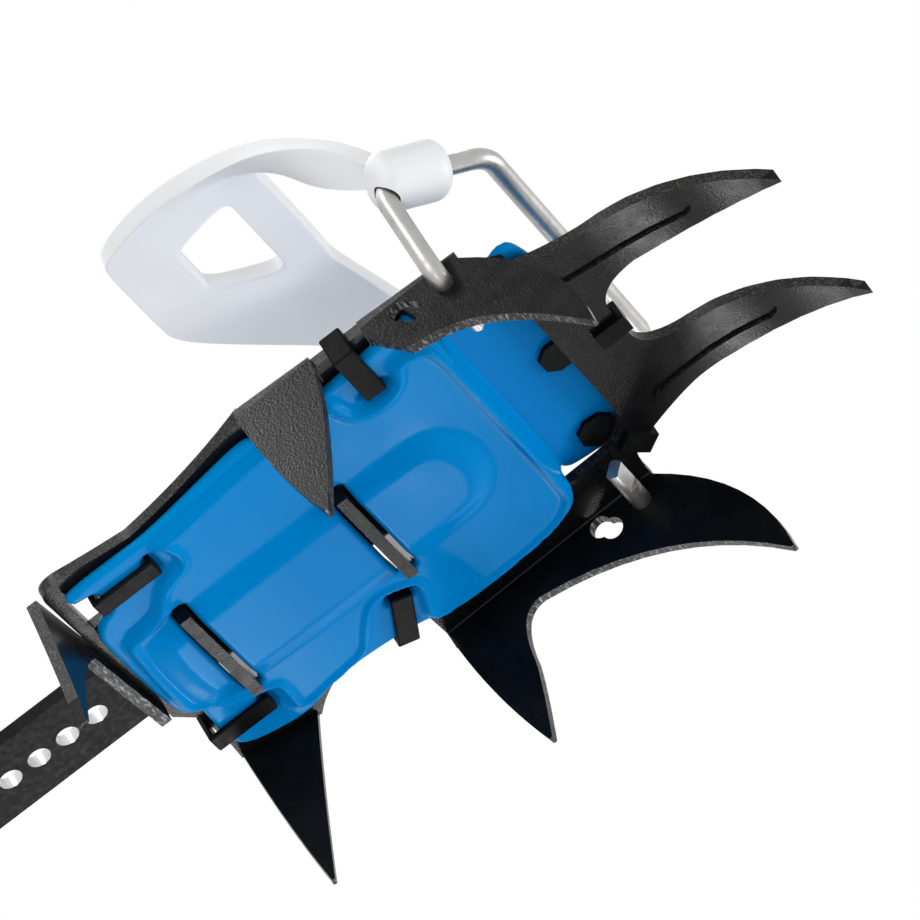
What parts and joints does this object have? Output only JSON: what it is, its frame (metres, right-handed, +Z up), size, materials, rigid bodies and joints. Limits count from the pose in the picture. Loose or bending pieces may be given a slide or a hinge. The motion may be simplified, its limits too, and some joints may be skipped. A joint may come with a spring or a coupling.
{
  "type": "crampon front section",
  "caption": "Front section of a mountaineering crampon: pressed steel frame with downward and forward points, moulded anti-balling plate, toe bail with harness and a perforated linking bar.",
  "frame": {"origin": "on the frame's top face, on the middle plane, above the axis of the bail's end pins", "axes": "+X to the toe, +Y to the wearer's left, +Z up to the boot sole"},
  "size_m": [0.2777, 0.1122, 0.1246],
  "materials": {
    "black_steel": "black powder coat with a fine orange-peel grain and paler sheared edges",
    "blue_plastic": "satin-gloss moulded blue plastic",
    "black_clip": "black satin strip",
    "black_bar": "black coated flat bar with bare hole walls",
    "wire_steel": "satin stainless wire",
    "white_plastic": "soft white moulded plastic"
  },
  "bodies": {
    "frame": {"toe_frame": "black_steel", "mid_cross_rib": "black_steel", "rear_cross_rib": "black_steel", "antiball_plate": "blue_plastic", "front_clip": "black_clip", "front_clip_right": "black_clip", "front_clip_left": "black_clip", "side_clip_right": "black_clip", "side_clip_left": "black_clip", "rear_clip_right": "black_clip", "rear_clip_left": "black_clip"},
    "bar": {"linking_bar": "black_bar"},
    "bail": {"toe_bail": "wire_steel", "toe_harness": "white_plastic"}
  },
  "joints": [
    {"name": "bail_swing", "type": "hinge", "parent": "frame", "child": "bail", "pos_m": [0, 0, -0.0065], "axis": [0, 1, 0], "range_deg": [-35, 35]},
    {"name": "bar_lift", "type": "hinge", "parent": "frame", "child": "bar", "pos_m": [-0.0398, 0, 0.0004], "axis": [0, 1, 0], "range_deg": [0, 12]}
  ]
}
